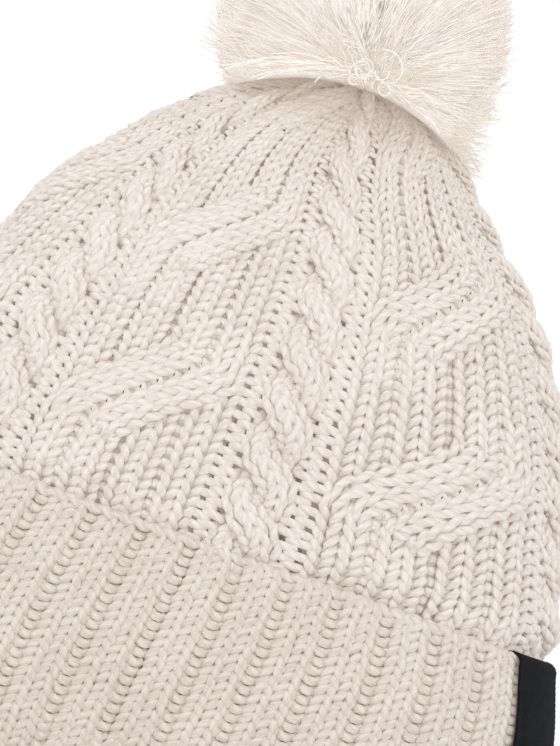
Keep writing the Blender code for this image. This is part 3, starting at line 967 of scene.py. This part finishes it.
def care_label(finish):
    """A blank satin strip folded double, with its cut edges sealed."""
    leaf = 0.55
    turn = np.linspace(0, math.pi, 11)
    z = np.linspace(CARE_TOP, CARE_LOW + leaf, 50)
    front = np.stack([np.full(50, CARE_Y - leaf), z], -1)
    fold = np.stack([CARE_Y - leaf * np.cos(turn), CARE_LOW + leaf - leaf * np.sin(turn)], -1)[1:-1]
    back = np.stack([np.full(50, CARE_Y + leaf), z[::-1]], -1)
    path = np.concatenate([front, fold, back])
    across = np.linspace(-CARE_WIDTH / 2, CARE_WIDTH / 2, 45)
    ahead = unit_rows(np.gradient(path, axis=0))
    normal = np.stack([ahead[:, 1], -ahead[:, 0]], -1)
    edge = np.minimum(np.arange(45), np.arange(45)[::-1]) / 44 * CARE_WIDTH
    half = 0.14 + 0.06 * np.exp(-(edge / 0.6) ** 2)
    bow = 0.5 * (across / 11.0) ** 2 * ((CARE_TOP - path[:, 1]) / 38.0)[:, None]

    def side(sign):
        y = path[:, None, 0] + normal[:, None, 0] * half * sign - bow
        up = path[:, None, 1] + normal[:, None, 1] * half * sign
        return np.stack([across + 0 * y, y, up], -1)

    return shell("care_label_satin", side(1), side(-1), finish)


def small_yarns(cream):
    """The yarns at the crown's top, their knot inside, and the back seam."""
    ring = np.linspace(0, 1, 240) * math.tau

    def piece(name, groups, sides, node):
        yarn_piece(name, groups, cream, sides, node)

    z = mid_height("pompom_tie_yarn")
    wraps = [path_group(np.stack([(4.6 + 0.25 * k) * np.cos(ring), (4.6 + 0.25 * k) * np.sin(ring),
                                  z - 0.75 + 0.75 * k + 0.15 * np.sin(3 * ring + k)], -1), 0.62)
             for k in range(3)]
    piece("pompom_tie_wraps", wraps, 10, "pompom_tie_yarn")
    low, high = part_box("pompom_anchor_yarn")
    z = np.linspace(low.z / MM, high.z / MM, 120)
    twist = math.tau * (z - z[0]) / 7.0
    plies = [path_group(np.stack([0.68 * np.cos(twist + p), 0.68 * np.sin(twist + p), z], -1), 0.72)
             for p in (0, math.pi)]
    piece("pompom_anchor_plies", plies, 10, "pompom_anchor_yarn")
    z = mid_height("crown_gather_yarn")
    loop = np.stack([3.5 * np.cos(ring), 3.5 * np.sin(ring), z + 0.45 * np.sin(9 * ring)], -1)
    piece("crown_gather_loop", [path_group(loop, 0.95)], 10, "crown_gather_yarn")
    z = mid_height("anchor_knot")
    knot = 1.35 * np.stack([np.sin(ring) + 2 * np.sin(2 * ring), np.cos(ring) - 2 * np.cos(2 * ring),
                            -1.15 * np.sin(3 * ring)], -1) + np.array([0, 0, z])
    piece("anchor_knot_yarn", [path_group(knot, 1.1)], 12, "anchor_knot")
    # the back seam: a ladder of mattress stitches up the inside of the knit
    along = np.linspace(CROWN.along_at(70.0), CROWN.length - 4, 700)
    phase = (along / ROW) * math.tau
    point, _ = CROWN.place(180 + np.degrees(1.6 * np.sin(phase / 2) / 80), along,
                           np.full_like(along, -6.0) + 0.25 * np.cos(phase))
    piece("back_seam_stitches", [path_group(point, 0.7)], 8, "back_seam_yarn")


def lining_pieces(fleece, thread):
    def piece(name, groups, sides, node):
        yarn_piece(name, groups, thread, sides, node)

    for name, first in GORES.items():
        gore = stand_in(lining_gore(name + "_fleece", first, fleece), "lining_gore_" + name)
    for node, turn, drop in (("lining_seam_sides", 90.0, 0.0), ("lining_seam_front_back", 0.0, 1.7)):
        points, normals = lining_seam(turn, drop)
        piece(node + "_overlock", overlock(points, normals, 0.28, 2.2, 0.9), 6, node)
    steps = 1400
    _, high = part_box("lining_hem_stitch")
    x, y = plan_point(np.full(steps, high.x / MM - THREAD), np.radians(np.linspace(0, 360, steps)))
    points = np.stack([x, y, np.full(steps, mid_height("lining_hem_stitch"))], -1)
    normals = unit_rows(points * np.array([1, 1, 0]))
    piece("lining_hem_overlock", overlock(points, normals, 0.26, 2.6, 0.45), 6, "lining_hem_stitch")
    low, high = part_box("lining_crown_tack")
    s = np.linspace(0, 1, 90)
    bar = [path_group(np.stack([0.32 * np.cos(9 * s * math.tau + p), 0.32 * np.sin(9 * s * math.tau + p),
                                (low.z + (high.z - low.z) * s) / MM], -1), 0.24) for p in (0, math.pi)]
    piece("lining_tack_thread", bar, 8, "lining_crown_tack")


def label_pieces(woven, satin, dark, white):
    piece = stand_in(woven_label(woven), "woven_label")
    stand_in(label_stitch(dark), "woven_label_stitch")
    piece = stand_in(care_label(satin), "care_label")
    low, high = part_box("care_label_stitch")
    x = np.linspace(low.x / MM + 0.5, high.x / MM - 0.5, 80)
    points = np.stack([x, np.full(80, (low.y + high.y) / 2 / MM), np.full(80, (low.z + high.z) / 2 / MM)],
                      -1)
    group = stitch_row(points, np.tile([0.0, 0.0, 1.0], (80, 1)), 2.2, 0.5, 0.3, 0.3)
    yarn_piece("care_label_thread", [group], white, 8, "care_label_stitch")


# ---------------------------------------------------------------- materials
class Nodes:
    """A material and short ways to build its nodes. Settings name a node's attribute or, with _
    for a space, one of its sockets."""

    def __init__(self, name, colour, roughness, **settings):
        self.material = bpy.data.materials.new(name)
        self.material.use_nodes = True
        self.tree = self.material.node_tree
        self.shader = self.tree.nodes["Principled BSDF"]
        self.shader.inputs["Base Color"].default_value = (*colour, 1)
        self.shader.inputs["Roughness"].default_value = roughness
        self.set(self.shader, settings)

    @staticmethod
    def set(node, settings):
        for key, value in settings.items():
            if hasattr(node, key):
                setattr(node, key, value)
            else:
                node.inputs[key.replace("_", " ")].default_value = value

    def add(self, kind, **settings):
        node = self.tree.nodes.new(kind)
        self.set(node, settings)
        return node

    def link(self, source, target):
        self.tree.links.new(source, target)

    def mapping(self, kind, scale):
        coord = self.add("ShaderNodeTexCoord")
        stretch = self.add("ShaderNodeMapping", Scale=scale)
        self.link(coord.outputs[kind], stretch.inputs["Vector"])
        return stretch.outputs["Vector"]

    def noise(self, kind, stretch, scale, detail):
        made = self.add("ShaderNodeTexNoise", Scale=scale, Detail=detail)
        self.link(self.mapping(kind, stretch), made.inputs["Vector"])
        return made.outputs["Fac"]

    def clear(self, value, low, high):
        """The value with its range from low to high spread over 0 to 1."""
        made = self.add("ShaderNodeMapRange", From_Min=low, From_Max=high)
        self.link(value, made.inputs["Value"])
        return made.outputs["Result"]

    def math(self, operation, *values):
        """Each value is a socket to link or a constant."""
        made = self.add("ShaderNodeMath", operation=operation)
        for socket, value in zip(made.inputs, values):
            if isinstance(value, float):
                socket.default_value = value
            else:
                self.link(value, socket)
        return made.outputs[0]

    def colour(self, factor, dark, light):
        mix = self.add("ShaderNodeMix", data_type="RGBA")
        mix.inputs[6].default_value = (*dark, 1)
        mix.inputs[7].default_value = (*light, 1)
        self.link(factor, mix.inputs[0])
        self.link(mix.outputs[2], self.shader.inputs["Base Color"])

    def relief(self, height, strength, distance):
        bump = self.add("ShaderNodeBump", Strength=strength, Distance=distance)
        self.link(height, bump.inputs["Height"])
        self.link(bump.outputs["Normal"], self.shader.inputs["Normal"])


def yarn_material(name, dark, light, sheen=0.15, painted_glow=(0, 0, 0)):
    """Plied yarn: a twist of plies, fine fibre along it, and broad uneven dye. Its emission colour, fitted
    to the photo, is painted light that lifts the yarn's shadows; it stands in for light scattered inside
    the yarn."""
    m = Nodes(name, light, 0.88, Sheen_Weight=sheen, Sheen_Roughness=0.55,
              Sheen_Tint=(1.0, 0.97, 0.93, 1), Specular_IOR_Level=0.2,
              Emission_Color=(*painted_glow, 1), Emission_Strength=1.0)
    ply = m.add("ShaderNodeTexWave", wave_type="BANDS", bands_direction="DIAGONAL", Scale=1.0,
                Distortion=0.6, Detail=2.0, Detail_Scale=3.0)
    m.link(m.mapping("UV", (0.0, 3 * 0.628, 0.0)), ply.inputs["Vector"])
    fibre = m.clear(m.noise("UV", (0.5, 18.0, 1.0), 1.0, 4.0), 0.3, 0.7)
    broad = m.noise("Object", (1, 1, 1), 70.0, 3.0)
    # painted shade: the ply bands darken the colour where the relief is low, in the grooves between plies;
    # the fibre and broad noises add the yarn's own uneven tone
    total = m.math("MULTIPLY_ADD", fibre, 0.5, m.math("MULTIPLY", ply.outputs["Fac"], 0.4))
    m.colour(m.math("MULTIPLY_ADD", broad, 0.5, total), dark, light)
    m.relief(total, 0.55, 0.0004)
    return m.material


PAINTED_GLOW = 0.252  # painted light: emission fitted to the photo, which lifts the strands' shadows; it stands in for light that scatters through fine strands


def strand_material(name, dark, light):
    """Fine soft strands, each a little lighter or darker than the next."""
    # painted light: the strands' emission lifts their shadows
    m = Nodes(name, light, 0.9, Sheen_Weight=0.15, Sheen_Roughness=0.5, Specular_IOR_Level=0.15,
              Emission_Color=(1.0, 0.956, 0.893, 1), Emission_Strength=PAINTED_GLOW)
    fibre = m.noise("UV", (0.35, 2.0, 1.0), 1.0, 3.0)
    broad = m.noise("Object", (1, 1, 1), 180.0, 3.0)
    m.colour(m.clear(m.math("ADD", fibre, broad), 0.7, 1.3), dark, light)
    return m.material


def cloth_material(name, dark, light, roughness, scale, fine, bump_depth, sheen=0.0):
    """Cloth whose colour and relief come from a stretched fine noise on a broad one."""
    m = Nodes(name, light, roughness, Sheen_Weight=sheen, Sheen_Roughness=0.4,
              Specular_IOR_Level=0.15)
    total = m.math("ADD", m.noise("Object", fine, 1.0, 4.0), m.noise("Object", (1, 1, 1), scale, 4.0))
    m.colour(m.clear(total, 0.7, 1.3), dark, light)
    m.relief(total, 0.6, bump_depth)
    return m.material


# painted light: the cream yarn's emission colour lifts its shadows
CREAM = yarn_material("cream_yarn", (0.545, 0.474, 0.424), (0.745, 0.696, 0.646),
                      painted_glow=(0.094, 0.077, 0.067))
# painted shade: a darker copy of the cream yarn, with weaker emission, for the cuff, which is the same yarn
# lying in more shade
SHADED_CUFF_CREAM = yarn_material("cream_yarn_rib_shaded", (0.50, 0.43, 0.38), (0.70, 0.645, 0.59),
                           painted_glow=(0.066, 0.050, 0.041))

POMPOM = strand_material("pompom_yarn", (0.70, 0.63, 0.58), (0.80, 0.752, 0.712))

FLEECE = cloth_material("charcoal_fleece", (0.022, 0.022, 0.025), (0.075, 0.074, 0.078), 0.95, 900.0,
                        (2600, 2600, 2600), 0.0004, sheen=0.35)
WOVEN = cloth_material("black_woven_label", (0.0035, 0.004, 0.0055), (0.010, 0.011, 0.014), 0.9, 300.0,
                       (900, 900, 5200), 0.00012)
SATIN = cloth_material("white_satin", (0.74, 0.74, 0.72), (0.88, 0.88, 0.86), 0.38, 200.0,
                       (5000, 900, 700), 0.00006)
DARK_THREAD = yarn_material("charcoal_thread", (0.018, 0.018, 0.02), (0.06, 0.06, 0.062), 0.1)
WHITE_THREAD = yarn_material("white_thread", (0.70, 0.70, 0.68), (0.86, 0.86, 0.84), 0.1)

for piece in pompom_pieces(POMPOM):
    stand_in(piece, "pompom_yarn")
for piece in crown_panels(CREAM):
    stand_in(piece, "crown_knit")
stand_in(crown_inner_face(CREAM), "crown_knit")
for piece in cuff_pieces(SHADED_CUFF_CREAM):
    stand_in(piece, "rib_cuff")
small_yarns(CREAM)
lining_pieces(FLEECE, DARK_THREAD)
label_pieces(WOVEN, SATIN, DARK_THREAD, WHITE_THREAD)


# ---------------------------------------------------------------- floor, lights and camera
def add_stage():
    bpy.ops.mesh.primitive_plane_add(size=60.0, location=(0, 0, -0.0012))
    floor = bpy.context.object
    floor.name = "floor"
    floor.data.materials.append(Nodes("pale_floor", (0.9, 0.9, 0.9), 0.9).material)
    world = bpy.data.worlds.new("white")
    bpy.context.scene.world = world
    world.use_nodes = True
    back = world.node_tree.nodes["Background"]
    back.inputs["Color"].default_value = (1.0, 1.0, 1.0, 1)
    back.inputs["Strength"].default_value = 1.08
    for name, place, size, power in (
        ("key", (-0.9, -1.3, 1.5), 0.9, 4.5),
        ("fill", (0.5, -1.9, 0.15), 1.2, 5.0),
    ):
        lamp = bpy.data.lights.new(name, "AREA")
        lamp.size = size
        lamp.energy = power
        obj = bpy.data.objects.new(name, lamp)
        bpy.context.scene.collection.objects.link(obj)
        obj.location = place
        obj.rotation_mode = "QUATERNION"
        obj.rotation_quaternion = (Vector((0, 0, 0.1)) - Vector(place)).to_track_quat("-Z", "Y")


def add_camera():
    target = Vector((0.0046, 0.0, 0.127))
    elevation, roll, distance, width = math.radians(-1.0), math.radians(19.7), 2.5, 0.157
    data = bpy.data.cameras.new("camera")
    data.sensor_fit = "HORIZONTAL"
    data.sensor_width = 36.0
    data.lens = 36.0 * distance / width
    cam = bpy.data.objects.new("camera", data)
    bpy.context.scene.collection.objects.link(cam)
    back = Vector((0, -math.cos(elevation), math.sin(elevation)))
    cam.location = target + back * distance
    look = (-back).to_track_quat("-Z", "Y").to_matrix().to_4x4()
    cam.rotation_mode = "QUATERNION"
    cam.rotation_quaternion = (look @ Matrix.Rotation(roll, 4, "Z")).to_quaternion()
    data.clip_start, data.clip_end = 0.05, 100
    bpy.context.scene.camera = cam


add_stage()
add_camera()
bpy.context.scene.view_settings.view_transform = "Standard"
